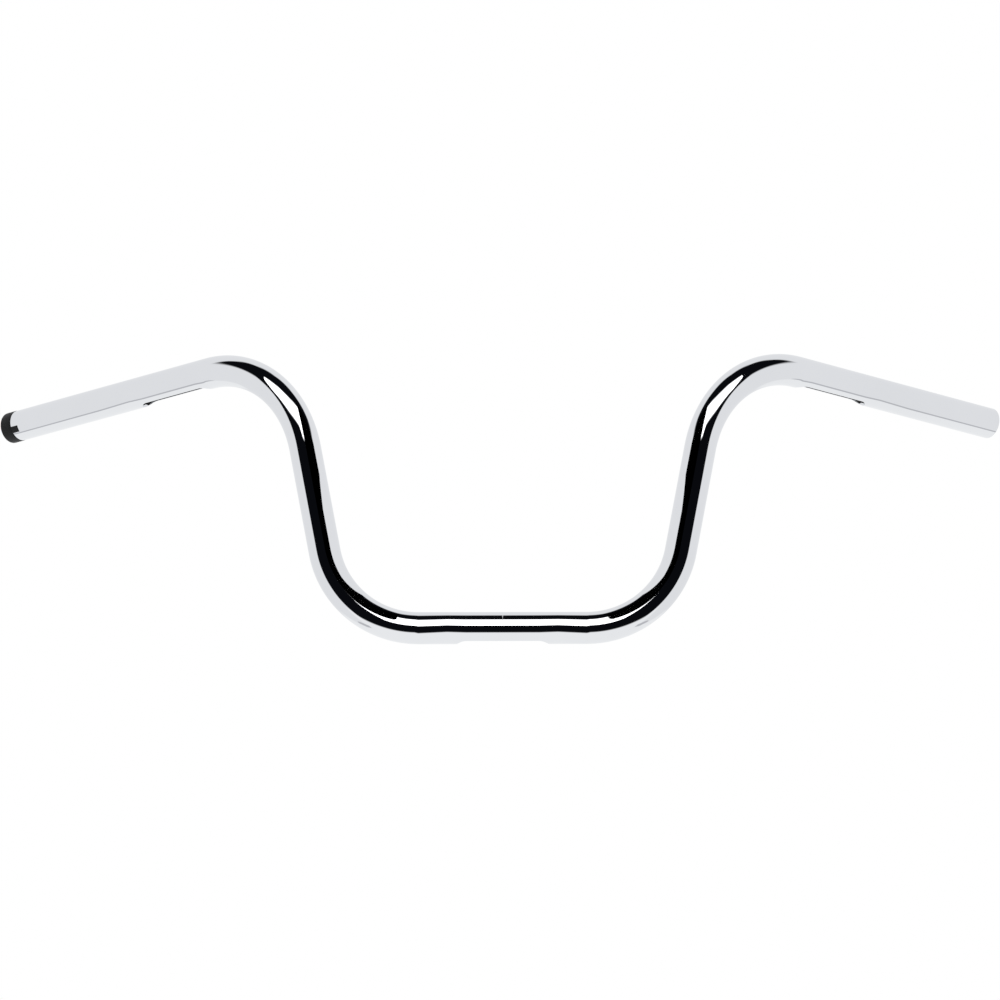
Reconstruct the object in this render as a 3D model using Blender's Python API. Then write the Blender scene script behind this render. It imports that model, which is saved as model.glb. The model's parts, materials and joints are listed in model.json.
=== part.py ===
"""Chromed motorcycle handlebar: one bent steel tube and the moulded plug in its throttle end.

Metres, +Z up. The origin is the middle of the clamp section, on the tube's axis.
+X is the rider's left (clutch side), -X the throttle side, and +Y is rearward, towards the rider.
"""

import math

import bmesh
import bpy
from mathutils import Matrix, Vector

# Tube
TUBE_OD = 0.0254
TUBE_WALL = 0.0024
RIM_CHAMFER = 0.0005

# Centreline of one half, from the middle outwards; the other half mirrors it in X.
CLAMP_HALF_LENGTH = 0.0665
LOWER_BEND_RADIUS = 0.0762
UPRIGHT_LENGTH = 0.0860
UPRIGHT_SPLAY = math.radians(11.2)
UPRIGHT_LEAN = math.radians(12.8)
UPPER_BEND_RADIUS = 0.0889
GRIP_LENGTH = 0.2080
GRIP_SWEEP = math.radians(34.5)
GRIP_DROP = math.radians(13.4)

# Wiring slots in the underside. Each grip has one, measured from the tube's end and turned from straight down
# towards the front; less than nothing is towards the rear.
SLOT_WIDTH = 0.0152
CLAMP_SLOT_LENGTH = 0.0725
GRIP_SLOT_LENGTH = 0.0720
GRIP_SLOT_FROM_END = 0.1350
GRIP_SLOT_TURN = math.radians(-7.5)

# Plug in the throttle end: a band outside the tube and a hollow, ribbed shank in its bore
BAND_LENGTH = 0.0115
BAND_OVERHANG = 0.0002
BAND_EDGE_RADIUS = 0.0022
SHANK_LENGTH = 0.0200
SHANK_WALL = 0.0022
SHANK_LEAD = 0.0010
FACE_WALL = 0.0030
RIB_COUNT = 6
RIB_WIDTH = 0.0016
RIB_HEIGHT = 0.0009
SEAT_GAP = 0.0003
BORE_GAP = 0.0003

# Keys of the plug, and the notches in the tube's end that they drop into
KEY_COUNT = 2
KEY_WIDTH = 0.0050
KEY_DEPTH = 0.0072
KEY_TURN = math.radians(19.0)
KEY_GAP = 0.0003

# Facets
TUBE_SIDES = 24
BEND_STEP = math.radians(7.0)
SLOT_SIDES = 20
EDGE_STEPS = 4

CUT_CLEARANCE = 0.0020
JOIN_OVERLAP = 0.0010
MERGE_DISTANCE = 0.000001

CLUTCH_SIDE = 1
THROTTLE_SIDE = -1


# Sizes that follow from the ones above

def tube_radius():
    return TUBE_OD / 2


def bore_radius():
    """To the middle of the faceted bore's flats."""
    return tube_radius() * math.cos(math.pi / TUBE_SIDES) - TUBE_WALL


def plug_bore_radius():
    """The radius that the plug's ribs reach."""
    return bore_radius() - BORE_GAP


# The centreline

def upright_direction():
    return Vector((math.tan(UPRIGHT_SPLAY), math.tan(UPRIGHT_LEAN), 1.0)).normalized()


def grip_direction(side):
    """Outwards along the grip."""
    return Vector((side, math.tan(GRIP_SWEEP), -math.tan(GRIP_DROP))).normalized()


def bend(start, before, after, radius):
    """Centre, axis, angle and end point of a bend from one direction into another."""
    inwards = (after - after.dot(before) * before).normalized()
    centre = start + radius * inwards
    axis = before.cross(after).normalized()
    angle = before.angle(after)
    return centre, axis, angle, centre + Matrix.Rotation(angle, 3, axis) @ (start - centre)


def half_centreline():
    """Both bends of the +X half, each as bend() gives it, and the tube's end point."""
    along_clamp = Vector((1.0, 0.0, 0.0))
    lower = bend(along_clamp * CLAMP_HALF_LENGTH, along_clamp, upright_direction(), LOWER_BEND_RADIUS)
    upper_start = lower[3] + upright_direction() * UPRIGHT_LENGTH
    upper = bend(upper_start, upright_direction(), grip_direction(CLUTCH_SIDE), UPPER_BEND_RADIUS)
    return lower, upper, upper[3] + grip_direction(CLUTCH_SIDE) * GRIP_LENGTH


def tube_end(side):
    end = half_centreline()[2]
    return Vector((side * end.x, end.y, end.z))


def across(direction, wanted):
    """The wanted direction, made square to the given one."""
    return (wanted - wanted.dot(direction) * direction).normalized()


def downwards(side):
    return across(grip_direction(side), Vector((0.0, 0.0, -1.0)))


def forwards(side):
    """Square to the grip and level, on the side that faces forwards."""
    return side * downwards(side).cross(grip_direction(side))


def around_grip(side, turn, start, towards):
    """A direction square to the grip, turned from one such direction towards another."""
    return (math.cos(turn) * start(side) + math.sin(turn) * towards(side)).normalized()


def placed(origin, x_axis, z_axis):
    """World matrix of a frame with this origin, X axis and Z axis."""
    columns = Matrix((x_axis, z_axis.cross(x_axis), z_axis)).transposed()
    return Matrix.Translation(origin) @ columns.to_4x4()


# Materials

def principled(name, colour, roughness, metallic):
    material = bpy.data.materials.new(name)
    material.use_nodes = True
    shader = material.node_tree.nodes["Principled BSDF"]
    shader.inputs["Base Color"].default_value = (*colour, 1.0)
    shader.inputs["Roughness"].default_value = roughness
    shader.inputs["Metallic"].default_value = metallic
    return material


def chrome_plate():
    return principled("chrome_plate", (0.80, 0.81, 0.83), 0.05, 1.0)


def black_plastic():
    return principled("black_plastic", (0.035, 0.035, 0.040), 0.50, 0.0)


# Mesh helpers

def object_from(name, bm, material=None):
    bmesh.ops.recalc_face_normals(bm, faces=bm.faces)
    mesh = bpy.data.meshes.new(name)
    bm.to_mesh(mesh)
    bm.free()
    mesh.shade_smooth()
    mesh.set_sharp_from_angle(angle=math.radians(30))
    if material:
        mesh.materials.append(material)
    obj = bpy.data.objects.new(name, mesh)
    bpy.context.scene.collection.objects.link(obj)
    return obj


def helper_from(name, bm):
    """An object that only serves a Boolean."""
    obj = object_from(name, bm)
    obj.hide_render = True
    obj.display_type = "WIRE"
    return obj


def boolean(target, operation, helper):
    modifier = target.modifiers.new(helper.name, "BOOLEAN")
    modifier.operation = operation
    modifier.object = helper
    modifier.solver = "EXACT"


def box(low, high):
    """A closed box between two corners, as a bmesh."""
    bm = bmesh.new()
    centre = (Vector(low) + Vector(high)) / 2
    size = Vector(high) - Vector(low)
    bmesh.ops.create_cube(bm, size=1.0, matrix=Matrix.Translation(centre) @ Matrix.Diagonal(size).to_4x4())
    return bm


def slot_prism(length, height):
    """A prism with round ends, its length along X, from Z = 0 up to the height."""
    bm = bmesh.new()
    bmesh.ops.create_circle(bm, cap_ends=True, segments=SLOT_SIDES, radius=SLOT_WIDTH / 2)
    straight = length - SLOT_WIDTH
    for vert in bm.verts:
        if abs(vert.co.x) > MERGE_DISTANCE:
            vert.co.x += math.copysign(straight / 2, vert.co.x)
    grown = bmesh.ops.extrude_face_region(bm, geom=bm.faces[:])["geom"]
    top = [item for item in grown if isinstance(item, bmesh.types.BMVert)]
    bmesh.ops.translate(bm, verts=top, vec=(0.0, 0.0, height))
    return bm


# Tube

def extrude_ring(bm, ring, vector):
    grown = bmesh.ops.extrude_edge_only(bm, edges=ring)["geom"]
    verts = [item for item in grown if isinstance(item, bmesh.types.BMVert)]
    bmesh.ops.translate(bm, verts=verts, vec=vector)
    return [item for item in grown if isinstance(item, bmesh.types.BMEdge)]


def spin_ring(bm, ring, centre, axis, angle):
    verts = list({vert for edge in ring for vert in edge.verts})
    steps = math.ceil(angle / BEND_STEP)
    spun = bmesh.ops.spin(bm, geom=verts + ring, cent=centre, axis=axis, angle=angle, steps=steps)
    return [item for item in spun["geom_last"] if isinstance(item, bmesh.types.BMEdge)]


def half_sleeve():
    """The outer surface of the +X half, open at both ends."""
    bm = bmesh.new()
    on_edge = Matrix.Rotation(math.pi / 2, 4, "Y")
    bmesh.ops.create_circle(bm, segments=TUBE_SIDES, radius=tube_radius(), matrix=on_edge)
    lower, upper, _ = half_centreline()
    ring = extrude_ring(bm, bm.edges[:], Vector((CLAMP_HALF_LENGTH, 0.0, 0.0)))
    ring = spin_ring(bm, ring, *lower[:3])
    ring = extrude_ring(bm, ring, upright_direction() * UPRIGHT_LENGTH)
    ring = spin_ring(bm, ring, *upper[:3])
    extrude_ring(bm, ring, grip_direction(CLUTCH_SIDE) * GRIP_LENGTH)
    return bm


def clamp_slot_cutter():
    """In the lowest line of the clamp section, from the tube's axis down through its wall."""
    cutter = helper_from("clamp_slot_cutter", slot_prism(CLAMP_SLOT_LENGTH, tube_radius() + CUT_CLEARANCE))
    cutter.matrix_world = placed(Vector(), Vector((1.0, 0.0, 0.0)), Vector((0.0, 0.0, -1.0)))
    return cutter


def grip_slot_cutter(side):
    """In the underside of a grip, turned a little towards the rear."""
    name = "clutch_slot_cutter" if side == CLUTCH_SIDE else "throttle_slot_cutter"
    cutter = helper_from(name, slot_prism(GRIP_SLOT_LENGTH, tube_radius() + CUT_CLEARANCE))
    along = grip_direction(side)
    middle = tube_end(side) - along * (GRIP_SLOT_FROM_END + GRIP_SLOT_LENGTH / 2)
    cutter.matrix_world = placed(middle, along, around_grip(side, GRIP_SLOT_TURN, downwards, forwards))
    return cutter


def key_notch_cutter(index):
    """A box through the tube's wall, open at the tube's throttle end."""
    half_width = KEY_WIDTH / 2 + KEY_GAP
    low = (bore_radius() / 2, -half_width, -KEY_DEPTH - KEY_GAP)
    high = (tube_radius() + CUT_CLEARANCE, half_width, CUT_CLEARANCE)
    cutter = helper_from(f"key_notch_cutter_{index + 1}", box(low, high))
    cutter.matrix_world = throttle_end_frame() @ key_rotation(index)
    return cutter


def handlebar_tube():
    """Two bends and a swept grip to each side of the clamp section, in one length of tube."""
    tube = object_from("handlebar_tube", half_sleeve(), chrome_plate())
    mirror = tube.modifiers.new("other_half", "MIRROR")
    mirror.use_axis = (True, False, False)
    mirror.merge_threshold = MERGE_DISTANCE
    wall = tube.modifiers.new("wall", "SOLIDIFY")
    wall.thickness = TUBE_WALL
    wall.offset = -1.0
    wall.use_even_offset = True
    rims = tube.modifiers.new("rim_chamfers", "BEVEL")
    rims.width = RIM_CHAMFER
    rims.segments = 1
    rims.limit_method = "ANGLE"
    rims.angle_limit = math.radians(60)
    boolean(tube, "DIFFERENCE", clamp_slot_cutter())
    for side in (CLUTCH_SIDE, THROTTLE_SIDE):
        boolean(tube, "DIFFERENCE", grip_slot_cutter(side))
    for index in range(KEY_COUNT):
        boolean(tube, "DIFFERENCE", key_notch_cutter(index))
    return tube


# Plug

def throttle_end_frame():
    """Origin in the tube's end, Z outwards along the grip, X through the middle of the first key."""
    first_key = around_grip(THROTTLE_SIDE, KEY_TURN, forwards, downwards)
    return placed(tube_end(THROTTLE_SIDE), first_key, grip_direction(THROTTLE_SIDE))


def key_rotation(index):
    return Matrix.Rotation(index * 2 * math.pi / KEY_COUNT, 4, "Z")


def band_radius():
    return tube_radius() + BAND_OVERHANG


def shank_radius():
    return plug_bore_radius() - RIB_HEIGHT


def plug_outline():
    """Half section as (radius, height) pairs, from the hollow's floor round to the outer face."""
    band_end = SEAT_GAP + BAND_LENGTH
    core_radius = shank_radius() - SHANK_WALL
    outline = [
        (0.0, band_end - FACE_WALL),
        (core_radius, band_end - FACE_WALL),
        (core_radius, -SHANK_LENGTH),
        (shank_radius() - SHANK_LEAD, -SHANK_LENGTH),
        (shank_radius(), -SHANK_LENGTH + SHANK_LEAD),
        (shank_radius(), SEAT_GAP),
        (band_radius(), SEAT_GAP),
    ]
    for step in range(EDGE_STEPS + 1):
        angle = step / EDGE_STEPS * math.pi / 2
        radius = band_radius() - BAND_EDGE_RADIUS * (1 - math.cos(angle))
        outline.append((radius, band_end - BAND_EDGE_RADIUS * (1 - math.sin(angle))))
    return outline + [(0.0, band_end)]


def turned_plug():
    bm = bmesh.new()
    verts = [bm.verts.new((radius, 0.0, height)) for radius, height in plug_outline()]
    edges = [bm.edges.new(pair) for pair in zip(verts, verts[1:])]
    bmesh.ops.spin(
        bm,
        geom=verts + edges,
        cent=(0.0, 0.0, 0.0),
        axis=(0.0, 0.0, 1.0),
        angle=2 * math.pi,
        steps=TUBE_SIDES,
        use_merge=True,
    )
    bmesh.ops.remove_doubles(bm, verts=bm.verts, dist=MERGE_DISTANCE)
    return bm


def plug_key(index, frame):
    """A block on the shank, as high as the tube's wall and joined to the band."""
    low = (shank_radius() - JOIN_OVERLAP, -KEY_WIDTH / 2, -KEY_DEPTH)
    high = (math.sqrt(tube_radius() ** 2 - (KEY_WIDTH / 2) ** 2), KEY_WIDTH / 2, SEAT_GAP + JOIN_OVERLAP)
    key = helper_from(f"plug_key_{index + 1}", box(low, high))
    key.matrix_world = frame @ key_rotation(index)
    return key


def plug_rib(index, frame):
    """A crush rib along the shank, between the keys, stopping short of the lead-in."""
    top = math.sqrt(plug_bore_radius() ** 2 - (RIB_WIDTH / 2) ** 2)
    low = (shank_radius() - JOIN_OVERLAP, -RIB_WIDTH / 2, -SHANK_LENGTH + 2 * SHANK_LEAD)
    rib = helper_from(f"plug_rib_{index + 1}", box(low, (top, RIB_WIDTH / 2, SEAT_GAP + JOIN_OVERLAP)))
    rib.matrix_world = frame @ Matrix.Rotation((index + 0.5) * 2 * math.pi / RIB_COUNT, 4, "Z")
    return rib


def throttle_end_plug():
    frame = throttle_end_frame()
    plug = object_from("throttle_end_plug", turned_plug(), black_plastic())
    plug.matrix_world = frame
    for index in range(KEY_COUNT):
        boolean(plug, "UNION", plug_key(index, frame))
    for index in range(RIB_COUNT):
        boolean(plug, "UNION", plug_rib(index, frame))
    return plug


def clear_scene():
    for obj in list(bpy.data.objects):
        bpy.data.objects.remove(obj, do_unlink=True)


def main():
    clear_scene()
    handlebar_tube()
    throttle_end_plug()


main()
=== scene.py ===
"""Chromed motorcycle handlebar: the looks of its bent tube and of the plug in its throttle end.

Metres, +Z up. The origin is the middle of the clamp section, on the tube's axis.
+X is the rider's left (clutch side), -X the throttle side, and +Y is rearward, towards the rider.
"""

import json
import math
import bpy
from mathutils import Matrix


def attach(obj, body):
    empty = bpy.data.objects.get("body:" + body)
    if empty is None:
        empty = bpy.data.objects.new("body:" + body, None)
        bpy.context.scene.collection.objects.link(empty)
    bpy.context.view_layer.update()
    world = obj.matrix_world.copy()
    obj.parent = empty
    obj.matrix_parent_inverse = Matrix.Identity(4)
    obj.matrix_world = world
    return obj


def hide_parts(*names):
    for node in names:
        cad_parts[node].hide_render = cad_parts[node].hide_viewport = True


bl_info = {
    "name": "Motorcycle Handlebar",
    "version": (1, 0, 0),
    "blender": (4, 5, 0),
    "location": "3D View > Sidebar > Handlebar",
    "description": "Builds a chromed, slotted handlebar, its throttle end plug and a light studio",
    "category": "Add Mesh",
}

from collections import namedtuple

import bmesh
import bpy
from mathutils import Matrix, Vector

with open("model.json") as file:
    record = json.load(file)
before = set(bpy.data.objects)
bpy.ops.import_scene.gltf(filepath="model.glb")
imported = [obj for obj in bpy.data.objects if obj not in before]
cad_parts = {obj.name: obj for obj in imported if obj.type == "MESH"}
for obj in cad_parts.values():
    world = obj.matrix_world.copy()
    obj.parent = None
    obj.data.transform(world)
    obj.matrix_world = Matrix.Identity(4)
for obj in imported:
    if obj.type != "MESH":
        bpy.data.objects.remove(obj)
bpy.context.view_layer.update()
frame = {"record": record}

clamp_mount = next(
    mount for mount in frame["record"]["mounts"] if mount["name"] == "riser_clamp"
)

CLUTCH_SIDE = 1
THROTTLE_SIDE = -1

# Counts of edges. A round slot end is drawn with 2 * SLOT_PLACES edges, and a notch with
# 2 * NOTCH_PLACES. EDGE_STEPS are the steps of a rounded edge of the tube, CORNER_STEPS those of a
# rounded corner of the plug, and BEVEL_STEPS those of its keys and ribs.
SIDES = 96
SLOT_PLACES = 8
NOTCH_PLACES = 3
EDGE_STEPS = 4
PLUG_SIDES = 96
CORNER_STEPS = 6
BEVEL_STEPS = 4
KEY_STRIPS = 8
RIB_SIDES = 20

BEND_STEP = math.radians(2.0)
SHARP_EDGE = math.radians(40)
PLUG_SHARP_EDGE = math.radians(35)

# Tolerances of the mesh, and how deep a solid reaches into the one that it is united with
TINY = 0.000001
MERGE_DISTANCE = 0.00001
RADIUS_TOLERANCE = 0.00005
OVERLAP = 0.0010

# Details of the plug. The dish in its outer face is given as (inwards from the rim, depth).
KEYS = 2
RIBS = 6
KEY_CORNER = 0.0006
HOLLOW_CORNER = 0.0006
RIM_WIDTH = 0.0022
DISH = [(0.0, 0.0), (0.0003, 0.0001), (0.0006, 0.0004), (0.0012, 0.0005)]
# Rounding of the band's inner edge as a share of its overhang, and of a rib's end as a share of
# its radius
SEAT_EDGE_SHARE = 1.5
RIB_END_SHARE = 0.7


# Settings

def linear(hex_colour):
    """An sRGB hex colour as a linear RGB triple."""
    channels = (int(hex_colour[i:i + 2], 16) / 255 for i in (1, 3, 5))
    return tuple(c / 12.92 if c <= 0.04045 else ((c + 0.055) / 1.055) ** 2.4 for c in channels)


def length(name, metres, description):
    return bpy.props.FloatProperty(
        name=name,
        description=description,
        default=metres,
        min=0.0,
        precision=5,
        unit="LENGTH",
        subtype="DISTANCE",
    )


def turn(name, degrees, description):
    return bpy.props.FloatProperty(
        name=name, description=description, default=math.radians(degrees), subtype="ANGLE"
    )


def colour(name, hex_colour, description):
    return bpy.props.FloatVectorProperty(
        name=name,
        description=description,
        default=linear(hex_colour),
        size=3,
        min=0.0,
        max=1.0,
        subtype="COLOR",
    )


class HandlebarTubeSettings(bpy.types.PropertyGroup):
    """Sizes and colours of the bent tube"""

    diameter: length(
        "Diameter", 2 * clamp_mount["dims"]["r_mm"] / 1000, "Outside diameter of the tube"
    )
    wall: length("Wall", 0.0024, "Thickness of the tube's wall")
    rim_edge: length("Rim Edge", 0.0005, "Rounding of the edges at the tube's ends")
    clamp_length: length(
        "Clamp Length",
        clamp_mount["dims"]["length_mm"] / 1000,
        "Straight section between the lower bends",
    )
    lower_bend_radius: length("Lower Bend", 0.0762, "Radius of the bends beside the clamp section")
    upright_length: length("Upright Length", 0.0860, "Straight run between a side's two bends")
    upright_splay: turn("Upright Splay", 11.2, "Lean of the uprights away from each other")
    upright_lean: turn("Upright Lean", 12.8, "Lean of the uprights towards the rider")
    upper_bend_radius: length("Upper Bend", 0.0889, "Radius of the bends beside the grips")
    grip_length: length("Grip Length", 0.2080, "Straight run of a grip")
    grip_sweep: turn("Grip Sweep", 34.5, "Sweep of the grips back towards the rider")
    grip_drop: turn("Grip Drop", 13.4, "Fall of the grips towards their ends")
    slot_width: length("Slot Width", 0.0152, "Width of the wiring slots")
    slot_edge: length("Slot Edge", 0.0004, "Rounding of the slots' edges")
    clamp_slot_length: length("Clamp Slot Length", 0.0725, "Length of the clamp section's slot")
    grip_slot_length: length("Grip Slot Length", 0.0720, "Length of the slot under each grip")
    grip_slot_from_end: length("Grip Slot from End", 0.1350, "From the tube's end to the slot")
    grip_slot_turn: turn(
        "Grip Slot Turn", -7.5, "Turn of the grips' slots from the underside towards the front"
    )
    chrome: colour("Chrome", "#ECEDEF", "Colour of the chrome plate")
    bore: colour("Bore", "#7C7873", "Colour of the bare steel in the bore")
    bore_stain: colour("Bore Stain", "#5A4334", "Colour of the flash rust in the bore")


class EndPlugSettings(bpy.types.PropertyGroup):
    """Sizes and colours of the plug in the throttle end"""

    band_length: length("Band Length", 0.0115, "Length of the plug outside the tube")
    band_overhang: length("Band Overhang", 0.0002, "How far the band stands out past the tube")
    band_edge: length("Band Edge", 0.0022, "Rounding of the band's outer edge")
    shank_length: length("Shank Length", 0.0200, "Length of the plug inside the tube")
    shank_wall: length("Shank Wall", 0.0022, "Thickness of the shank's wall")
    shank_lead: length("Shank Lead", 0.0010, "Chamfer at the shank's inner end")
    face_wall: length("Face Wall", 0.0030, "Thickness of the outer face")
    rib_width: length("Rib Width", 0.0016, "Width of a crush rib")
    rib_height: length("Rib Height", 0.0009, "Height of a crush rib")
    seat_gap: length("Seat Gap", 0.0003, "From the tube's end to the band")
    bore_gap: length("Bore Gap", 0.0003, "From the ribs to the tube's bore")
    key_width: length("Key Width", 0.0050, "Width of a key")
    key_depth: length("Key Depth", 0.0072, "How far a key reaches along the tube")
    key_gap: length("Key Gap", 0.0003, "Space round a key in its notch")
    key_turn: turn("Key Turn", 19.0, "Turn of the first key from the front towards the underside")
    plastic: colour("Plastic", "#0A0A0C", "Colour of the moulded nylon")


class StudioSettings(bpy.types.PropertyGroup):
    """Floor, light and camera"""

    floor_depth: length("Floor Depth", 0.8000, "How far the floor lies below the tube's axis")
    floor_side: length("Floor Side", 7.0, "Side of the square floor")
    floor: colour("Floor", "#F4F4F2", "Colour of the floor")
    paper: colour("Paper", "#EFF0F2", "Colour of the white paper walls, as the chrome mirrors them")
    floor_glow: colour(
        "Floor Glow", "#FAFBFC", "Colour of the lit floor, as the chrome mirrors it"
    )
    seam: colour("Seam", "#C4C5C9", "Colour of the seam between the walls and the floor")
    softbox_glow: bpy.props.FloatProperty(
        name="Softbox Glow",
        description="Brightness of the soft lights in front, as the chrome mirrors them",
        default=2.2,
        min=0.0,
    )
    dark: colour("Dark", "#0B0C10", "Colour of the dark side of the room, behind the camera")


def tube_sizes():
    return bpy.context.scene.handlebar_tube


def plug_sizes():
    return bpy.context.scene.handlebar_plug


# Centreline of the tube

Bend = namedtuple("Bend", "centre axis angle end")


def upright_direction():
    sizes = tube_sizes()
    return Vector((math.tan(sizes.upright_splay), math.tan(sizes.upright_lean), 1.0)).normalized()


def grip_direction(side):
    """Outwards along the grip."""
    sizes = tube_sizes()
    return Vector((side, math.tan(sizes.grip_sweep), -math.tan(sizes.grip_drop))).normalized()


def bend(start, before, after, radius):
    """A bend from one direction into another."""
    inwards = (after - after.dot(before) * before).normalized()
    centre = start + radius * inwards
    axis = before.cross(after).normalized()
    angle = before.angle(after)
    end = centre + Matrix.Rotation(angle, 3, axis) @ (start - centre)
    return Bend(centre, axis, angle, end)


def half_bends():
    """The lower and the upper bend of the +X half."""
    sizes = tube_sizes()
    clamp, upright = Vector((1.0, 0.0, 0.0)), upright_direction()
    lower = bend(clamp * sizes.clamp_length / 2, clamp, upright, sizes.lower_bend_radius)
    upper_start = lower.end + upright * sizes.upright_length
    return lower, bend(upper_start, upright, grip_direction(CLUTCH_SIDE), sizes.upper_bend_radius)


def grip_start(side):
    _, upper = half_bends()
    return Vector((side * upper.end.x, upper.end.y, upper.end.z))


def downwards(side):
    """Square to the grip, on its underside."""
    along = grip_direction(side)
    down = Vector((0.0, 0.0, -1.0))
    return (down - down.dot(along) * along).normalized()


def forwards(side):
    """Square to the grip and level, on the side that faces forwards."""
    return side * downwards(side).cross(grip_direction(side))


def around_grip(side, angle, start, towards):
    """A direction square to the grip, turned from one such direction towards another."""
    return (math.cos(angle) * start(side) + math.sin(angle) * towards(side)).normalized()


def clamp_slot_half():
    """From the clamp section's middle to the middle of its slot's round end."""
    sizes = tube_sizes()
    return (sizes.clamp_slot_length - sizes.slot_width) / 2


def grip_slot_ends():
    """The middles of the round ends of a grip's slot, as distances from the grip's start."""
    sizes = tube_sizes()
    start = (
        sizes.grip_length
        - sizes.grip_slot_from_end
        - sizes.grip_slot_length
        + sizes.slot_width / 2
    )
    return start, start + sizes.grip_slot_length - sizes.slot_width


# Stretches of the tube. Every vertex knows its place round the tube, counted from the opening that
# its stretch faces.

Stretch = namedtuple("Stretch", "start along facing side")
Opening = namedtuple("Opening", "half_width places repeats")
PLAIN = Opening(0.0, 0, 1)


def clamp_stretch():
    return Stretch(Vector(), Vector((1.0, 0.0, 0.0)), Vector((0.0, 0.0, -1.0)), CLUTCH_SIDE)


def upright_stretch():
    """Faces where the lower bend takes the clamp section's first place, so the places stay."""
    lower, _ = half_bends()
    facing = Matrix.Rotation(lower.angle, 3, lower.axis) @ clamp_stretch().facing
    return Stretch(lower.end, upright_direction(), facing, CLUTCH_SIDE)


def grip_slot_stretch():
    facing = around_grip(CLUTCH_SIDE, tube_sizes().grip_slot_turn, downwards, forwards)
    return Stretch(grip_start(CLUTCH_SIDE), grip_direction(CLUTCH_SIDE), facing, CLUTCH_SIDE)


def grip_end_stretch(side):
    """Measured from the tube's end and facing the middle of the first key."""
    end = grip_start(side) + grip_direction(side) * tube_sizes().grip_length
    facing = around_grip(side, plug_sizes().key_turn, forwards, downwards)
    return Stretch(end, grip_direction(side), facing, side)


def slot_opening(half_width):
    return Opening(half_width, SLOT_PLACES, 1)


def notch_opening():
    plug = plug_sizes()
    return Opening(plug.key_width / 2 + plug.key_gap, NOTCH_PLACES, KEYS)


def place_layer(bm):
    return bm.verts.layers.int.get("place") or bm.verts.layers.int.new("place")


def along_layer(bm):
    """Distance along the tube from its middle, which the finish follows."""
    return bm.verts.layers.float.get("along_tube") or bm.verts.layers.float.new("along_tube")


def each_once(items):
    """In the order given, so that every run builds the same mesh."""
    return list(dict.fromkeys(items))


def verts_in(edges):
    return each_once(vert for edge in edges for vert in edge.verts)


def near_opening(place, opening):
    """Places counted from the nearest opening's middle, and that middle's angle round the tube."""
    spread = SIDES // opening.repeats
    near = (place + spread // 2) % spread - spread // 2
    return near, (place - near) * 2 * math.pi / SIDES


def angle_of(place, opening, radius):
    near, middle = near_opening(place, opening)
    if abs(near) <= opening.places:
        sideways = opening.half_width * math.sin(near / max(opening.places, 1) * math.pi / 2)
        return middle + math.asin(sideways / radius)
    half_spread = SIDES // opening.repeats / 2
    edge = math.asin(opening.half_width / radius)
    beyond = (abs(near) - opening.places) / (half_spread - opening.places)
    return middle + math.copysign(edge + beyond * (math.pi / opening.repeats - edge), near)


# Rings of edges round the tube

def settle(bm, verts, stretch, opening, radius):
    """Moves vertices to this radius and to their place's angle, as far along as they are."""
    place = place_layer(bm)
    sideways = stretch.side * stretch.along.cross(stretch.facing)
    for vert in verts:
        distance = (vert.co - stretch.start).dot(stretch.along)
        angle = angle_of(vert[place], opening, radius)
        arm = math.cos(angle) * stretch.facing + math.sin(angle) * sideways
        vert.co = stretch.start + distance * stretch.along + radius * arm


def renumber(bm, ring, stretch):
    """Counts the places of a plain ring anew from the direction that the stretch faces."""
    place = place_layer(bm)
    sideways = stretch.side * stretch.along.cross(stretch.facing)
    for vert in verts_in(ring):
        arm = vert.co - stretch.start
        angle = math.atan2(arm.dot(sideways), arm.dot(stretch.facing))
        vert[place] = round(angle / (2 * math.pi / SIDES)) % SIDES


def extruded(bm, edges):
    """The new edges, which lie on the old ones until their vertices are moved."""
    grown = bmesh.ops.extrude_edge_only(bm, edges=edges)["geom"]
    return [item for item in grown if isinstance(item, bmesh.types.BMEdge)]


def next_ring(bm, ring, stretch, step, opening, radius):
    """Extrudes a ring along a straight stretch and settles it for the opening there."""
    ring = extruded(bm, ring)
    verts = verts_in(ring)
    along = along_layer(bm)
    for vert in verts:
        vert.co += step * stretch.along
        vert[along] += step
    settle(bm, verts, stretch, opening, radius)
    return ring


def level_ring(bm, ring, stretch, distance):
    """Brings every vertex of a ring to the same distance along the stretch."""
    along = along_layer(bm)
    for vert in verts_in(ring):
        step = distance - (vert.co - stretch.start).dot(stretch.along)
        vert.co += step * stretch.along
        vert[along] += step


def spun_ring(bm, ring, bent, bend_radius):
    """Spins a ring through a bend and writes how far along the tube each new vertex is."""
    before = set(bm.verts)
    start = sum((vert.co for vert in verts_in(ring)), Vector()) / SIDES - bent.centre
    spun = bmesh.ops.spin(
        bm,
        geom=verts_in(ring) + ring,
        cent=bent.centre,
        axis=bent.axis,
        angle=bent.angle,
        steps=math.ceil(bent.angle / BEND_STEP),
    )
    along = along_layer(bm)
    for vert in set(bm.verts) - before:
        arm = vert.co - bent.centre
        arm -= arm.dot(bent.axis) * bent.axis
        vert[along] += bend_radius * start.angle(arm)
    return [item for item in spun["geom_last"] if isinstance(item, bmesh.types.BMEdge)]


def push_slot_end(bm, ring, stretch, opening, direction):
    """Moves the part of a ring that lies in the opening outwards into a half circle."""
    place = place_layer(bm)
    along = along_layer(bm)
    for vert in verts_in(ring):
        near, _ = near_opening(vert[place], opening)
        if abs(near) < opening.places:
            push = direction * opening.half_width * math.cos(near / opening.places * math.pi / 2)
            vert.co += push * stretch.along
            vert[along] += push


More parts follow.
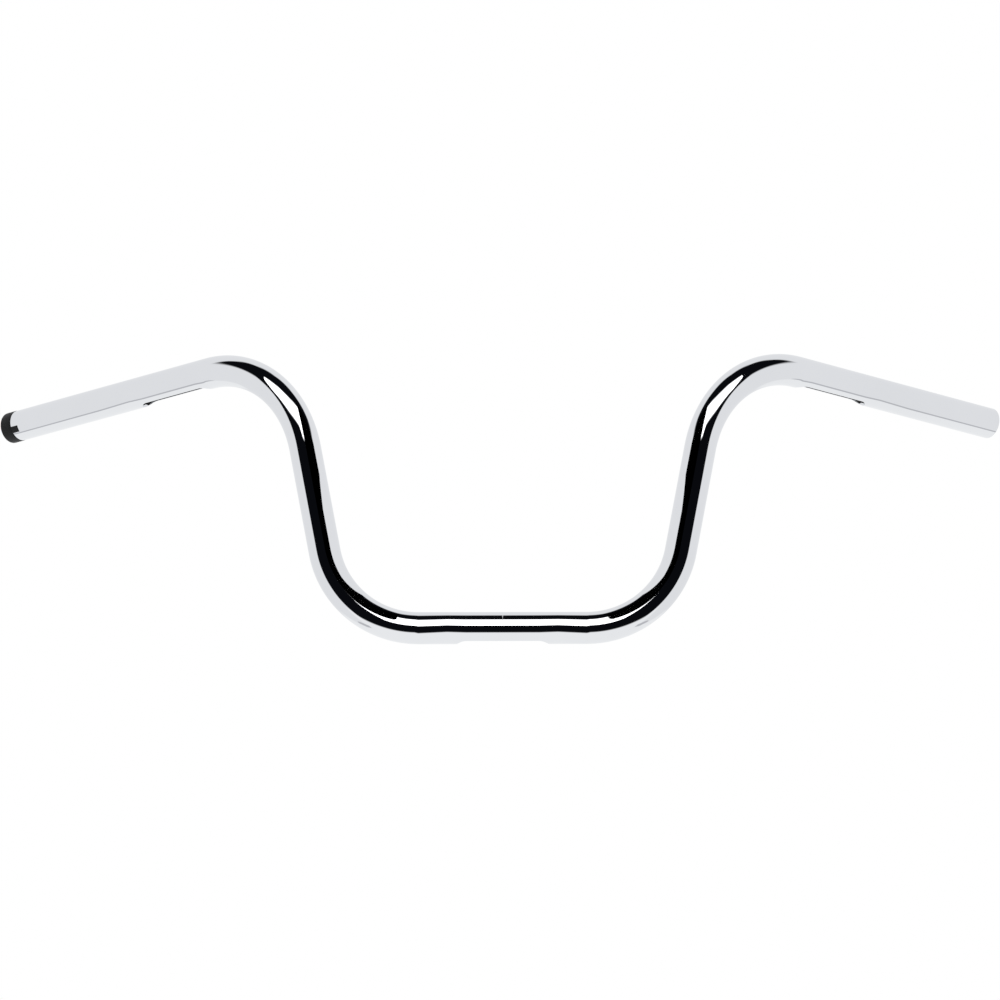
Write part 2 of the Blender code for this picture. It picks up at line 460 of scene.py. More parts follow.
def cut_opening(bm, faces, opening):
    """Deletes the faces that lie in the opening and returns the edges left round it."""
    place = place_layer(bm)
    gone = [
        face
        for face in faces
        if all(abs(near_opening(vert[place], opening)[0]) <= opening.places for vert in face.verts)
    ]
    around = each_once(edge for face in gone for edge in face.edges)
    bmesh.ops.delete(bm, geom=gone, context="FACES")
    return [edge for edge in around if edge.is_valid and edge.is_boundary]


def faces_between(first, second):
    """Faces that touch an edge of both rings."""
    second = set(second)
    return [
        face for edge in first for face in edge.link_faces if any(e in second for e in face.edges)
    ]


# Surfaces of the tube

def half_sleeve(bm, radius):
    """One surface of the +X half, to some way past the grip's slot. Returns its slots' outlines."""
    sizes = tube_sizes()
    slot = slot_opening(sizes.slot_width / 2 + sizes.slot_edge)
    slot_margin = sizes.slot_width
    clamp, grip = clamp_stretch(), grip_slot_stretch()
    lower, upper = half_bends()

    on_edge = Matrix.Rotation(math.pi / 2, 4, "Y")
    circle = bmesh.ops.create_circle(bm, segments=SIDES, radius=radius, matrix=on_edge)["verts"]
    ring = each_once(edge for vert in circle for edge in vert.link_edges)
    renumber(bm, ring, clamp)
    settle(bm, circle, clamp, slot, radius)

    slot_half = clamp_slot_half()
    end = next_ring(bm, ring, clamp, slot_half, slot, radius)
    opening = faces_between(ring, end)
    push_slot_end(bm, end, clamp, slot, 1)
    ring = next_ring(bm, end, clamp, 0.0, slot, radius)
    past_slot = slot_half + slot_margin
    level_ring(bm, ring, clamp, past_slot)
    clamp_outline = cut_opening(bm, opening, slot)
    ring = next_ring(bm, ring, clamp, sizes.clamp_length / 2 - past_slot, PLAIN, radius)
    ring = spun_ring(bm, ring, lower, sizes.lower_bend_radius)
    ring = next_ring(bm, ring, upright_stretch(), sizes.upright_length, PLAIN, radius)
    ring = spun_ring(bm, ring, upper, sizes.upper_bend_radius)

    renumber(bm, ring, grip)
    slot_start, slot_end = grip_slot_ends()
    start = next_ring(bm, ring, grip, slot_start, slot, radius)
    end = next_ring(bm, start, grip, slot_end - slot_start, slot, radius)
    opening = faces_between(start, end)
    push_slot_end(bm, start, grip, slot, -1)
    push_slot_end(bm, end, grip, slot, 1)
    ring = next_ring(bm, end, grip, 0.0, slot, radius)
    level_ring(bm, ring, grip, slot_end + slot_margin)
    grip_outline = cut_opening(bm, opening, slot)
    next_ring(bm, ring, grip, 2 * slot_margin, PLAIN, radius)
    return clamp_outline, grip_outline


def edge_profile(outer, inner, rounding):
    """(inset, radius) pairs through the wall, round its outer edge and then its inner one."""
    steps = [math.pi / 2 * step / EDGE_STEPS for step in range(EDGE_STEPS + 1)]
    out = [(rounding * math.sin(s), outer - rounding * (1 - math.cos(s))) for s in steps]
    return out + [(inset, outer + inner - radius) for inset, radius in reversed(out)]


def slot_wall(bm, outline, stretch, straight_start, straight_end):
    """Grows a slot's outline inwards through the wall, with both edges rounded."""
    sizes = tube_sizes()
    outer = sizes.diameter / 2
    place = place_layer(bm)
    widest = sizes.slot_width / 2 + sizes.slot_edge
    for inset, radius in edge_profile(outer, outer - sizes.wall, sizes.slot_edge)[1:]:
        outline = extruded(bm, outline)
        opening = slot_opening(widest - inset)
        for vert in verts_in(outline):
            near, _ = near_opening(vert[place], opening)
            distance = (vert.co - stretch.start).dot(stretch.along)
            round_out = opening.half_width * math.cos(near / opening.places * math.pi / 2)
            if distance >= straight_end - TINY:
                vert.co += (straight_end + round_out - distance) * stretch.along
            elif distance <= straight_start + TINY:
                vert.co += (straight_start - round_out - distance) * stretch.along
        settle(bm, verts_in(outline), stretch, opening, radius)


def open_end_ring(bm, side, radius):
    """The open edges of one surface, past the slot of this side's grip."""
    sizes = tube_sizes()
    stretch = grip_end_stretch(side)
    past_slot = sizes.slot_width / 2 - sizes.grip_slot_from_end

    def at_end(vert):
        arm = vert.co - stretch.start
        distance = arm.dot(stretch.along)
        off_surface = abs((arm - distance * stretch.along).length - radius)
        return past_slot < distance < TINY and off_surface < RADIUS_TOLERANCE

    return [edge for edge in bm.edges if edge.is_boundary and all(map(at_end, edge.verts))]


def finish_end(bm, side, notched):
    """The last of a grip with its rim, and at the throttle the notches for the plug's keys."""
    sizes, plug = tube_sizes(), plug_sizes()
    stretch = grip_end_stretch(side)
    opening = notch_opening() if notched else PLAIN
    outer = sizes.diameter / 2
    bore = outer - sizes.wall
    notch_depth = plug.key_depth + plug.key_gap
    outline = []
    for radius in (outer, bore):
        ring = open_end_ring(bm, side, radius)
        renumber(bm, ring, stretch)
        reach = (ring[0].verts[0].co - stretch.start).dot(stretch.along)
        first = next_ring(bm, ring, stretch, -reach - notch_depth, opening, radius)
        last = next_ring(bm, first, stretch, notch_depth - sizes.rim_edge, opening, radius)
        around = cut_opening(bm, faces_between(first, last), opening) if notched else []
        outline = outline or each_once([edge for edge in last if edge.is_valid] + around)
    for inset, radius in edge_profile(outer, bore, sizes.rim_edge)[1:]:
        outline = extruded(bm, outline)
        for vert in verts_in(outline):
            distance = (vert.co - stretch.start).dot(stretch.along)
            if distance > -notch_depth / 2:
                vert.co += (inset - sizes.rim_edge - distance) * stretch.along
        settle(bm, verts_in(outline), stretch, opening, radius)


def object_from(name, bm, materials):
    mesh = bpy.data.meshes.new(name)
    bm.to_mesh(mesh)
    bm.free()
    mesh.shade_smooth()
    mesh.set_sharp_from_angle(angle=SHARP_EDGE)
    for material in materials:
        mesh.materials.append(material)
    obj = bpy.data.objects.new(name, mesh)
    bpy.context.scene.collection.objects.link(obj)
    return obj


def build_tube():
    sizes = tube_sizes()
    outer = sizes.diameter / 2
    bm = bmesh.new()
    place_layer(bm)
    along_layer(bm)
    clamp_outline, grip_outline = half_sleeve(bm, outer)
    outside = set(bm.faces)
    half_sleeve(bm, outer - sizes.wall)
    for face in set(bm.faces) - outside:
        face.material_index = 1
    slot_wall(bm, clamp_outline, clamp_stretch(), -clamp_slot_half(), clamp_slot_half())
    slot_wall(bm, grip_outline, grip_slot_stretch(), *grip_slot_ends())

    whole_half = bm.verts[:] + bm.edges[:] + bm.faces[:]
    bmesh.ops.mirror(bm, geom=whole_half, axis="X", merge_dist=TINY)
    finish_end(bm, CLUTCH_SIDE, notched=False)
    finish_end(bm, THROTTLE_SIDE, notched=True)
    bmesh.ops.remove_doubles(bm, verts=bm.verts, dist=MERGE_DISTANCE)
    bmesh.ops.recalc_face_normals(bm, faces=bm.faces)
    if any(not edge.is_manifold for edge in bm.edges):
        raise RuntimeError("the tube isn't one closed surface")

    tube = object_from("chromed_tube", bm, [chrome_plate(), bare_steel_bore()])
    settled = tube.modifiers.new("settled_normals", "WEIGHTED_NORMAL")
    settled.keep_sharp = True
    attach(tube, "bar")
    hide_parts("handlebar_tube")


# Plug

def plug_frame():
    """Origin in the tube's end, Z outwards along the grip, X through the first key's middle."""
    stretch = grip_end_stretch(THROTTLE_SIDE)
    sideways = stretch.along.cross(stretch.facing)
    columns = Matrix((stretch.facing, sideways, stretch.along)).transposed()
    return Matrix.Translation(stretch.start) @ columns.to_4x4()


def shank_radius():
    sizes, plug = tube_sizes(), plug_sizes()
    return sizes.diameter / 2 - sizes.wall - plug.bore_gap - plug.rib_height


def rounded_corner(radius, height, edge, start_angle):
    """Points of a quarter circle about (radius, height)."""
    turned = [start_angle + math.pi / 2 * step / CORNER_STEPS for step in range(CORNER_STEPS + 1)]
    return [(radius + edge * math.cos(t), height + edge * math.sin(t)) for t in turned]


def plug_outline():
    """Half section as (radius, height) pairs, from the hollow's floor round to the outer face."""
    plug = plug_sizes()
    shank = shank_radius()
    hollow = shank - plug.shank_wall
    band = tube_sizes().diameter / 2 + plug.band_overhang
    band_end = plug.seat_gap + plug.band_length
    hollow_floor = band_end - plug.face_wall
    seat_edge = plug.band_overhang * SEAT_EDGE_SHARE
    dish_edge = band - plug.band_edge - RIM_WIDTH
    return (
        [(0.0, hollow_floor), (hollow - HOLLOW_CORNER, hollow_floor)]
        + [(hollow, hollow_floor - HOLLOW_CORNER), (hollow, -plug.shank_length)]
        + [(shank - plug.shank_lead, -plug.shank_length)]
        + [(shank, plug.shank_lead - plug.shank_length), (shank, plug.seat_gap)]
        + rounded_corner(band - seat_edge, plug.seat_gap + seat_edge, seat_edge, -math.pi / 2)
        + rounded_corner(band - plug.band_edge, band_end - plug.band_edge, plug.band_edge, 0.0)
        + [(dish_edge - inwards, band_end - depth) for inwards, depth in DISH]
        + [(0.0, band_end - DISH[-1][1])]
    )


def turned_plug(bm):
    verts = [bm.verts.new((radius, 0.0, height)) for radius, height in plug_outline()]
    edges = [bm.edges.new(pair) for pair in zip(verts, verts[1:])]
    bmesh.ops.spin(
        bm,
        geom=verts + edges,
        cent=(0.0, 0.0, 0.0),
        axis=(0.0, 0.0, 1.0),
        angle=2 * math.pi,
        steps=PLUG_SIDES,
        use_merge=True,
    )
    bmesh.ops.remove_doubles(bm, verts=bm.verts, dist=TINY)


def ease_edges(bm, edges, offset):
    bmesh.ops.bevel(
        bm,
        geom=edges,
        offset=offset,
        offset_type="OFFSET",
        segments=BEVEL_STEPS,
        profile=0.5,
        affect="EDGES",
        material=-1,
    )


def shaped_key(turned):
    """A key from the shank to the tube's outside, its top curved like the tube."""
    plug = plug_sizes()
    outer = tube_sizes().diameter / 2
    low = Vector((shank_radius() - OVERLAP, -plug.key_width / 2, -plug.key_depth))
    high = Vector((outer, plug.key_width / 2, plug.seat_gap + OVERLAP))
    bm = bmesh.new()
    block = Matrix.Translation((low + high) / 2) @ Matrix.Diagonal(high - low).to_4x4()
    bmesh.ops.create_cube(bm, size=1.0, matrix=block)
    inner_corners = [
        edge
        for edge in bm.edges
        if all(vert.co.z < 0.0 for vert in edge.verts) and edge.verts[0].co.x != edge.verts[1].co.x
    ]
    ease_edges(bm, inner_corners, KEY_CORNER)
    for cut in range(1, KEY_STRIPS):
        middle = (0.0, plug.key_width * (cut / KEY_STRIPS - 0.5), 0.0)
        whole = bm.verts[:] + bm.edges[:] + bm.faces[:]
        bmesh.ops.bisect_plane(bm, geom=whole, plane_co=middle, plane_no=(0.0, 1.0, 0.0))
    for vert in bm.verts:
        if vert.co.x > outer - TINY:
            vert.co.x = math.sqrt(outer ** 2 - vert.co.y ** 2)
    bmesh.ops.rotate(bm, verts=bm.verts, matrix=Matrix.Rotation(turned, 3, "Z"))
    return bm


def shaped_rib(turned):
    """A half-round crush rib, rounded at its inner end."""
    plug = plug_sizes()
    radius = plug.rib_width / 2
    low, high = 2 * plug.shank_lead - plug.shank_length, plug.seat_gap + OVERLAP
    middle = (shank_radius() + plug.rib_height - radius, 0.0, (low + high) / 2)
    bm = bmesh.new()
    bmesh.ops.create_cone(
        bm,
        cap_ends=True,
        segments=RIB_SIDES,
        radius1=radius,
        radius2=radius,
        depth=high - low,
        matrix=Matrix.Translation(middle),
    )
    inner_rim = [edge for edge in bm.edges if all(vert.co.z < low + TINY for vert in edge.verts)]
    ease_edges(bm, inner_rim, radius * RIB_END_SHARE)
    bmesh.ops.rotate(bm, verts=bm.verts, matrix=Matrix.Rotation(turned, 3, "Z"))
    return bm


def join_solid(target, bm):
    """Unites a closed helper shape with the target's mesh."""
    helper = object_from("join_helper", bm, [])
    joined = target.modifiers.new("join", "BOOLEAN")
    joined.operation = "UNION"
    joined.solver = "EXACT"
    joined.object = helper
    bpy.context.view_layer.update()
    evaluated = target.evaluated_get(bpy.context.evaluated_depsgraph_get())
    whole = bpy.data.meshes.new_from_object(evaluated)
    target.modifiers.clear()
    target.data = whole
    bpy.data.objects.remove(helper, do_unlink=True)


def build_plug():
    bm = bmesh.new()
    turned_plug(bm)
    bmesh.ops.recalc_face_normals(bm, faces=bm.faces)
    plug = object_from("moulded_end_plug", bm, [moulded_nylon()])
    for index in range(KEYS):
        join_solid(plug, shaped_key(index * 2 * math.pi / KEYS))
    for index in range(RIBS):
        join_solid(plug, shaped_rib((index + 0.5) * 2 * math.pi / RIBS))
    plug.data.transform(plug_frame())
    plug.data.shade_smooth()
    plug.data.set_sharp_from_angle(angle=PLUG_SHARP_EDGE)
    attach(plug, "end_plug")
    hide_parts("throttle_end_plug")


# Materials

# Sizes of the patterns, in metres. Belt marks are really under 0.1 mm apart and the spark-eroded
# grain is 0.1 mm across, and both are drawn as coarse as they need to be to show.
BELT_MARKS = 0.0012
HAZE_PATCHES = 0.060
POLISHING_WAVES = 0.014
MILL_SCALE_BANDS = 0.008
RUST_PATCHES = 0.009
SPARK_GRAIN = 0.00035
FLOW_MOTTLE = 0.005
PAPER_FIBRE = 0.020

# Heights of the relief, in metres
POLISHING_WAVE_HEIGHT = 0.000010
BELT_MARK_DEPTH = 0.000002
RUST_HEIGHT = 0.00005
SPARK_GRAIN_DEPTH = 0.00004


def add_node(tree, kind, settings):
    """Adds a node. Each setting is one of its properties or inputs, by identifier, and an input
    that is given another node, or an output of one, is linked to it."""
    node = tree.nodes.new(kind)
    for name, value in settings.items():
        if hasattr(node, name):
            setattr(node, name, value)
            continue
        socket = next(socket for socket in node.inputs if socket.identifier == name)
        if isinstance(value, bpy.types.Node):
            value = next(output for output in value.outputs if output.enabled)
        if isinstance(value, bpy.types.NodeSocket):
            tree.links.new(value, socket)
        else:
            socket.default_value = value
    return node


def opaque(shade, lightness=1.0):
    return (*(channel * lightness for channel in shade), 1.0)


def new_material(name):
    material = bpy.data.materials.new(name)
    material.use_nodes = True
    material.node_tree.nodes.clear()
    return material, material.node_tree


def chrome_plate():
    """Bright chrome plate over a belt-polished steel tube: a near-perfect mirror, whose reflections
    waver a little from the polishing and dull a little where it has been handled."""
    material, tree = new_material("bright_chrome_plate_on_polished_tube")
    chrome = tube_sizes().chrome
    place = add_node(tree, "ShaderNodeTexCoord", {}).outputs["Object"]
    along = add_node(tree, "ShaderNodeAttribute", {"attribute_name": "along_tube"}).outputs["Fac"]
    # Belt marks run round the tube
    belt = add_node(
        tree,
        "ShaderNodeTexNoise",
        {"noise_dimensions": "1D", "W": along, "Scale": 1 / BELT_MARKS, "Detail": 4.0},
    )
    # Hand marks and wiping haze
    haze = add_node(
        tree,
        "ShaderNodeTexNoise",
        {
            "Vector": place,
            "Scale": 1 / HAZE_PATCHES,
            "Detail": 5.0,
            "Roughness": 0.6,
            "Distortion": 0.4,
        },
    )
    marks = add_node(
        tree, "ShaderNodeMix", {"Factor_Float": 0.35, "A_Float": haze, "B_Float": belt}
    )
    roughness = add_node(
        tree,
        "ShaderNodeMapRange",
        {"Value": marks, "From Min": 0.35, "From Max": 0.70, "To Min": 0.010, "To Max": 0.035},
    )
    # Waviness left by the polishing, and the belt marks on it
    waviness = add_node(
        tree, "ShaderNodeTexNoise", {"Vector": place, "Scale": 1 / POLISHING_WAVES, "Detail": 1.0}
    )
    wavy = add_node(
        tree,
        "ShaderNodeBump",
        {"Height": waviness, "Strength": 1.0, "Distance": POLISHING_WAVE_HEIGHT},
    )
    marked = add_node(
        tree,
        "ShaderNodeBump",
        {"Height": belt, "Normal": wavy, "Strength": 0.3, "Distance": BELT_MARK_DEPTH},
    )
    tint = add_node(
        tree,
        "ShaderNodeMix",
        {
            "data_type": "RGBA",
            "Factor_Float": haze,
            "A_Color": opaque(chrome),
            "B_Color": opaque(chrome, 0.955),
        },
    )
    shader = add_node(
        tree,
        "ShaderNodeBsdfPrincipled",
        {"Base Color": tint, "Metallic": 1.0, "Roughness": roughness, "Normal": marked},
    )
    add_node(tree, "ShaderNodeOutputMaterial", {"Surface": shader})
    return material


def bare_steel_bore():
    """Bare drawn steel, which the plating hardly reaches: dull grey, banded along the tube by the
    drawing, with thin brown flash rust in patches."""
    material, tree = new_material("bare_drawn_steel_bore")
    sizes = tube_sizes()
    place = add_node(tree, "ShaderNodeTexCoord", {}).outputs["Object"]
    along = add_node(tree, "ShaderNodeAttribute", {"attribute_name": "along_tube"}).outputs["Fac"]
    # Bands of mill scale
    bands = add_node(
        tree,
        "ShaderNodeTexNoise",
        {"noise_dimensions": "1D", "W": along, "Scale": 1 / MILL_SCALE_BANDS, "Detail": 5.0},
    )
    # Flash rust
    rust = add_node(
        tree,
        "ShaderNodeTexNoise",
        {"Vector": place, "Scale": 1 / RUST_PATCHES, "Detail": 8.0, "Roughness": 0.65},
    )
    rusty = add_node(
        tree,
        "ShaderNodeMapRange",
        {"Value": rust, "From Min": 0.48, "From Max": 0.66, "To Max": 0.8},
    )
    stained = add_node(
        tree,
        "ShaderNodeMix",
        {
            "data_type": "RGBA",
            "Factor_Float": rusty,
            "A_Color": opaque(sizes.bore),
            "B_Color": opaque(sizes.bore_stain),
        },
    )
    roughness = add_node(
        tree, "ShaderNodeMapRange", {"Value": bands, "To Min": 0.35, "To Max": 0.62}
    )
    grain = add_node(
        tree, "ShaderNodeBump", {"Height": rust, "Strength": 0.6, "Distance": RUST_HEIGHT}
    )
    shader = add_node(
        tree,
        "ShaderNodeBsdfPrincipled",
        {"Base Color": stained, "Metallic": 0.85, "Roughness": roughness, "Normal": grain},
    )
    add_node(tree, "ShaderNodeOutputMaterial", {"Surface": shader})
    return material


def moulded_nylon():
    """Black nylon moulded in a spark-eroded tool: an even, slightly mottled matt skin with a soft
    sheen at its edges."""
    material, tree = new_material("spark_textured_moulded_nylon")
    plastic = plug_sizes().plastic
    place = add_node(tree, "ShaderNodeTexCoord", {}).outputs["Object"]
    # Spark-eroded grain
    grain = add_node(
        tree,
        "ShaderNodeTexNoise",
        {"Vector": place, "Scale": 1 / SPARK_GRAIN, "Detail": 3.0, "Roughness": 0.55},
    )
    # Flow mottle from the gate
    mottle = add_node(
        tree, "ShaderNodeTexNoise", {"Vector": place, "Scale": 1 / FLOW_MOTTLE, "Detail": 3.0}
    )
    shade = add_node(
        tree,
        "ShaderNodeMix",
        {
            "data_type": "RGBA",
            "Factor_Float": mottle,
            "A_Color": opaque(plastic, 0.85),
            "B_Color": opaque(plastic, 1.20),
        },
    )
    roughness = add_node(
        tree, "ShaderNodeMapRange", {"Value": grain, "To Min": 0.42, "To Max": 0.62}
    )
    bump = add_node(
        tree, "ShaderNodeBump", {"Height": grain, "Strength": 0.5, "Distance": SPARK_GRAIN_DEPTH}
    )
    shader = add_node(
        tree,
        "ShaderNodeBsdfPrincipled",
        {
            "Base Color": shade,
            "Roughness": roughness,
            "IOR": 1.53,
            "Specular IOR Level": 0.25,
            "Normal": bump,
        },
    )
    add_node(tree, "ShaderNodeOutputMaterial", {"Surface": shader})
    return material


def background_paper():
    """Matt white background paper with a faint fibre mottle."""
    material, tree = new_material("matt_background_paper")
    floor = bpy.context.scene.handlebar_studio.floor
    place = add_node(tree, "ShaderNodeTexCoord", {}).outputs["Object"]
    # Clumps of fibre
    fibre = add_node(
        tree, "ShaderNodeTexNoise", {"Vector": place, "Scale": 1 / PAPER_FIBRE, "Detail": 6.0}
    )
    shade = add_node(
        tree,
        "ShaderNodeMix",
        {
            "data_type": "RGBA",
            "Factor_Float": fibre,
            "A_Color": opaque(floor),
            "B_Color": opaque(floor, 0.98),
        },
    )
    shader = add_node(tree, "ShaderNodeBsdfPrincipled", {"Base Color": shade, "Roughness": 0.9})
    add_node(tree, "ShaderNodeOutputMaterial", {"Surface": shader})
    return material


# Studio

# Edges in the room that the chrome mirrors, as (azimuth from the front, elevation) in degrees, the
# same on both sides: the far edge of the lit floor, the seam there between the floor and the walls,
# the lower edge of the dark front, and the edges of the soft light in it
FLOOR_EDGE = [
    (0, -25), (55, -25), (62, -45), (70, -52), (90, -52), (110, -50), (140, -30), (180, -12),
]
SEAM_BOTTOM = [(0, -50), (60, -50), (70, -56), (90, -56), (104, -50), (180, -50)]
SEAM_TOP = [(0, -50), (60, -50), (70, -49), (90, -49), (104, -50), (180, -50)]
FRONT_BOTTOM = [
    (0, -30), (42, -30), (50, -15), (60, 10), (66, 30), (96, 42), (115, 61), (135, 68),
    (150, 74), (180, 74),
]
LIGHT_BOTTOM = [
    (0, 31), (4, 31), (8, 38), (20, 37), (30, 35), (40, 32), (50, 30), (57, 30), (59, 88),
]
LIGHT_TOP = [(0, 65), (30, 64), (50, 59), (57, 57), (59, 20)]

# Cards between the halves: name, colour, near and far end in Y, lower edge, upper edge near and far
CENTRE_CARDS = (
    ("black_far_card", "#000000", -0.115, -1.60, 0.10, 0.56, 1.30),
    ("black_near_card", "#000000", -0.020, -0.115, 0.20, 0.56, 0.56),
    ("white_near_card", "#EFF0F2", 0.250, -0.115, 0.03, 0.20, 0.20),
)
# Turned and tilted so that the clamp section's middle mirrors the cards edge-on
CARD_TURN = 0.0061
CARD_TILT = 0.0073

OVERHEAD_PLACE = (0.0, -0.6, 2.4)
OVERHEAD_TILT = math.radians(-14)
OVERHEAD_SIZE = (2.4, 1.8)
OVERHEAD_POWER = 90.0

STRIP_WIDTH = 0.22
STRIP_BOTTOM = 0.088
STRIP_TOP = 0.156
STRIP_AHEAD = 0.25

# The camera stands level, and the object is rolled and turned a hair under it.
CAMERA_PLACE = (-0.00210, -3.400, 0.10125)
CAMERA_LENS = 154.8
CAMERA_SENSOR = 36.0
OBJECT_ROLL = math.radians(-0.12)
OBJECT_TURN = math.radians(-0.53)


def add_floor():
    studio = bpy.context.scene.handlebar_studio
    bm = bmesh.new()
    level = Matrix.Translation((0.0, 0.0, -studio.floor_depth))
    bmesh.ops.create_grid(
        bm, x_segments=4, y_segments=4, size=studio.floor_side / 2, matrix=level
    )
    floor = object_from("paper_floor", bm, [background_paper()])
    floor.visible_glossy = False


def add_centre_cards():
    """Black and white cards in the plane between the two halves, which keep each half from
    mirroring the light that belongs to the other. Only mirror reflections see them."""
    upright = Matrix.Rotation(math.pi / 2, 4, "Y")
    for name, shade, near, far, bottom, near_top, far_top in CENTRE_CARDS:
        bm = bmesh.new()
        bmesh.ops.create_grid(bm, x_segments=1, y_segments=1, size=0.5, matrix=upright)
        for vert in bm.verts:
            at_far_end = vert.co.y < 0.0
            vert.co.y = far if at_far_end else near
            if vert.co.z > 0.0:
                vert.co.z = far_top if at_far_end else near_top
            else:
                vert.co.z = bottom
            vert.co.x = vert.co.y * CARD_TURN - vert.co.z * CARD_TILT
        material, tree = new_material(name)
        glow = add_node(
            tree, "ShaderNodeEmission", {"Color": opaque(linear(shade)), "Strength": 1.0}
        )
        add_node(tree, "ShaderNodeOutputMaterial", {"Surface": glow})
        card = object_from(name, bm, [material])
        card.visible_camera = False
        card.visible_diffuse = False
        card.visible_shadow = False
        card.visible_transmission = False


def add_room():
    """The room that the chrome mirrors: white paper walls, a lit floor, a soft light high in
    front, and a dark side and ceiling. The camera itself sees plain white."""
    studio = bpy.context.scene.handlebar_studio
    world = bpy.data.worlds.new("studio_room")
    bpy.context.scene.world = world
    world.use_nodes = True
    tree = world.node_tree
    tree.nodes.clear()
    ray = add_node(tree, "ShaderNodeTexCoord", {}).outputs["Generated"]
    split = add_node(tree, "ShaderNodeSeparateXYZ", {"Vector": ray}).outputs
    sideways = add_node(tree, "ShaderNodeMath", {"operation": "ABSOLUTE", "Value": split["X"]})
    ahead = add_node(
        tree,
        "ShaderNodeMath",
        {"operation": "MULTIPLY", "Value": split["Y"], "Value_001": -1.0},
    )
    azimuth = add_node(
        tree,
        "ShaderNodeMath",
        {"operation": "ARCTAN2", "Value": sideways, "Value_001": ahead},
    )
    around = add_node(
        tree,
        "ShaderNodeMath",
        {"operation": "DIVIDE", "Value": azimuth, "Value_001": math.pi},
    )
    rise = add_node(tree, "ShaderNodeMath", {"operation": "ARCSINE", "Value": split["Z"]})
    height = add_node(
        tree,
        "ShaderNodeMath",
        {"operation": "MULTIPLY_ADD", "Value": rise, "Value_001": 1 / math.pi, "Value_002": 0.5},
    )

    def above(stops, softness):
        """How far a ray is above an edge, from 0 to 1 over the edge's softness in degrees. The
        edge is a ramp over 0 to 180 degrees round the room, whose grey is an elevation over -90
        to 90 degrees."""
        edge = add_node(tree, "ShaderNodeValToRGB", {"Fac": around})
        elements = edge.color_ramp.elements
        elements.remove(elements[-1])
        for index, (turned, elevation) in enumerate(stops):
            stop = elements.new(turned / 180) if index else elements[0]
            stop.position = turned / 180
            stop.color = opaque([(elevation + 90) / 180] * 3)
        over = add_node(
            tree,
            "ShaderNodeMath",
            {"operation": "SUBTRACT", "Value": height, "Value_001": edge},
        )
        half = softness / 360
        return add_node(
            tree,
            "ShaderNodeMapRange",
            {
                "interpolation_type": "SMOOTHSTEP",
                "Value": over,
                "From Min": -half,
                "From Max": half,
            },
        )

    def between(lower, upper):
        settings = {"operation": "SUBTRACT", "use_clamp": True, "Value": lower, "Value_001": upper}
        return add_node(tree, "ShaderNodeMath", settings)

    seam = between(above(SEAM_BOTTOM, softness=1), above(SEAM_TOP, softness=1))
    soft_light = between(above(LIGHT_BOTTOM, softness=4), above(LIGHT_TOP, softness=6))
    shade = opaque(studio.floor_glow)
    for factor, colour_there in (
        (above(FLOOR_EDGE, softness=6), studio.paper),
        (seam, studio.seam),
        (above(FRONT_BOTTOM, softness=8), studio.dark),
        (soft_light, (studio.softbox_glow,) * 3),
    ):
        shade = add_node(
            tree,
            "ShaderNodeMix",
            {
                "data_type": "RGBA",
                "Factor_Float": factor,
                "A_Color": shade,
                "B_Color": opaque(colour_there),
            },
        )
    mirrored = add_node(tree, "ShaderNodeBackground", {"Color": shade, "Strength": 1.0})
    white = opaque((1.0, 1.0, 1.0))
    seen = add_node(tree, "ShaderNodeBackground", {"Color": white, "Strength": 1.0})
    direct = add_node(tree, "ShaderNodeLightPath", {}).outputs["Is Camera Ray"]
    both = add_node(
        tree, "ShaderNodeMixShader", {"Fac": direct, "Shader": mirrored, "Shader_001": seen}
    )
    add_node(tree, "ShaderNodeOutputWorld", {"Surface": both})


def add_lamp(name, width, depth, power, place, mirrored):
    """A soft rectangular light that faces down its own Z. A mirrored one lights nothing else."""
    light = bpy.data.lights.new(name, "AREA")
    light.shape = "RECTANGLE"
    light.size = width
    light.size_y = depth
    light.energy = power
    lamp = bpy.data.objects.new(name, light)
    lamp.matrix_world = place
    lamp.visible_glossy = mirrored
    lamp.visible_diffuse = not mirrored
    lamp.visible_camera = False
    bpy.context.scene.collection.objects.link(lamp)


def add_lamps():
    """A large softbox overhead for the floor and the plug, and a narrow strip in front that only
    the clamp section mirrors, between the two uprights."""
    over = Matrix.Translation(OVERHEAD_PLACE) @ Matrix.Rotation(OVERHEAD_TILT, 4, "X")
    add_lamp("overhead_softbox", *OVERHEAD_SIZE, OVERHEAD_POWER, over, mirrored=False)

    middle = (0.0, -STRIP_AHEAD, (STRIP_BOTTOM + STRIP_TOP) / 2)
    ahead = Matrix.Translation(middle) @ Matrix.Rotation(math.pi / 2, 4, "X")
    strip_height = STRIP_TOP - STRIP_BOTTOM
    # As bright as the soft light in the room
    glow = bpy.context.scene.handlebar_studio.softbox_glow
    power = glow * math.pi * STRIP_WIDTH * strip_height
    add_lamp("front_strip", STRIP_WIDTH, strip_height, power, ahead, mirrored=True)


def add_camera():
    camera_data = bpy.data.cameras.new("product_camera")
    camera_data.sensor_width = CAMERA_SENSOR
    camera_data.lens = CAMERA_LENS
    camera = bpy.data.objects.new("product_camera", camera_data)
    object_turn = Matrix.Rotation(OBJECT_ROLL, 4, "Y") @ Matrix.Rotation(OBJECT_TURN, 4, "Z")
    level = Matrix.Translation(CAMERA_PLACE) @ Matrix.Rotation(math.pi / 2, 4, "X")
    camera.matrix_world = object_turn.inverted() @ level
    bpy.context.scene.collection.objects.link(camera)
    bpy.context.scene.camera = camera


def build_studio():
    add_floor()
    add_centre_cards()
    add_room()
    add_lamps()
    add_camera()
    bpy.context.scene.view_settings.view_transform = "Standard"


# Add-on

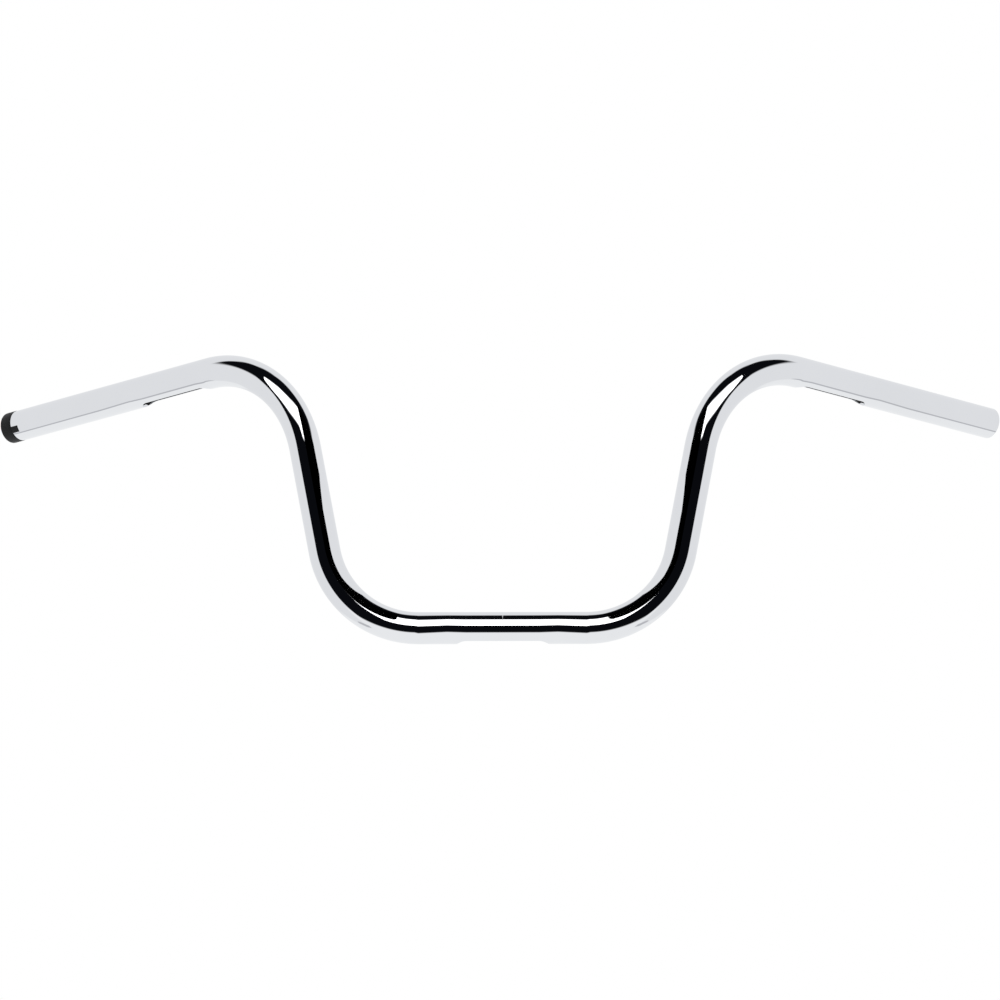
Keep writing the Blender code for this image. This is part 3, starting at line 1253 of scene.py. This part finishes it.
class HANDLEBAR_OT_tube(bpy.types.Operator):
    """Build the bent, slotted and chromed tube"""

    bl_idname = "handlebar.tube"
    bl_label = "Build Tube"

    def execute(self, context):
        build_tube()
        return {"FINISHED"}


class HANDLEBAR_OT_plug(bpy.types.Operator):
    """Build the moulded plug in the throttle end"""

    bl_idname = "handlebar.plug"
    bl_label = "Build End Plug"

    def execute(self, context):
        build_plug()
        return {"FINISHED"}


class HANDLEBAR_OT_studio(bpy.types.Operator):
    """Set up the floor, the light and the camera"""

    bl_idname = "handlebar.studio"
    bl_label = "Set Up Studio"

    def execute(self, context):
        build_studio()
        return {"FINISHED"}


class HANDLEBAR_PT_panel(bpy.types.Panel):
    """Handlebar sizes, colours and steps"""

    bl_label = "Handlebar"
    bl_idname = "HANDLEBAR_PT_panel"
    bl_space_type = "VIEW_3D"
    bl_region_type = "UI"
    bl_category = "Handlebar"

    def draw(self, context):
        scene = context.scene
        for settings, operator in (
            (scene.handlebar_tube, HANDLEBAR_OT_tube),
            (scene.handlebar_plug, HANDLEBAR_OT_plug),
            (scene.handlebar_studio, HANDLEBAR_OT_studio),
        ):
            column = self.layout.column()
            for name in settings.__annotations__:
                column.prop(settings, name)
            column.operator(operator.bl_idname)


CLASSES = (
    HandlebarTubeSettings,
    EndPlugSettings,
    StudioSettings,
    HANDLEBAR_OT_tube,
    HANDLEBAR_OT_plug,
    HANDLEBAR_OT_studio,
    HANDLEBAR_PT_panel,
)


def register():
    for cls in CLASSES:
        bpy.utils.register_class(cls)
    bpy.types.Scene.handlebar_tube = bpy.props.PointerProperty(type=HandlebarTubeSettings)
    bpy.types.Scene.handlebar_plug = bpy.props.PointerProperty(type=EndPlugSettings)
    bpy.types.Scene.handlebar_studio = bpy.props.PointerProperty(type=StudioSettings)


def unregister():
    del bpy.types.Scene.handlebar_studio
    del bpy.types.Scene.handlebar_plug
    del bpy.types.Scene.handlebar_tube
    for cls in reversed(CLASSES):
        bpy.utils.unregister_class(cls)


def main():
    register()
    bpy.ops.handlebar.tube()
    bpy.ops.handlebar.plug()
    bpy.ops.handlebar.studio()


if __name__ == "__main__":
    main()
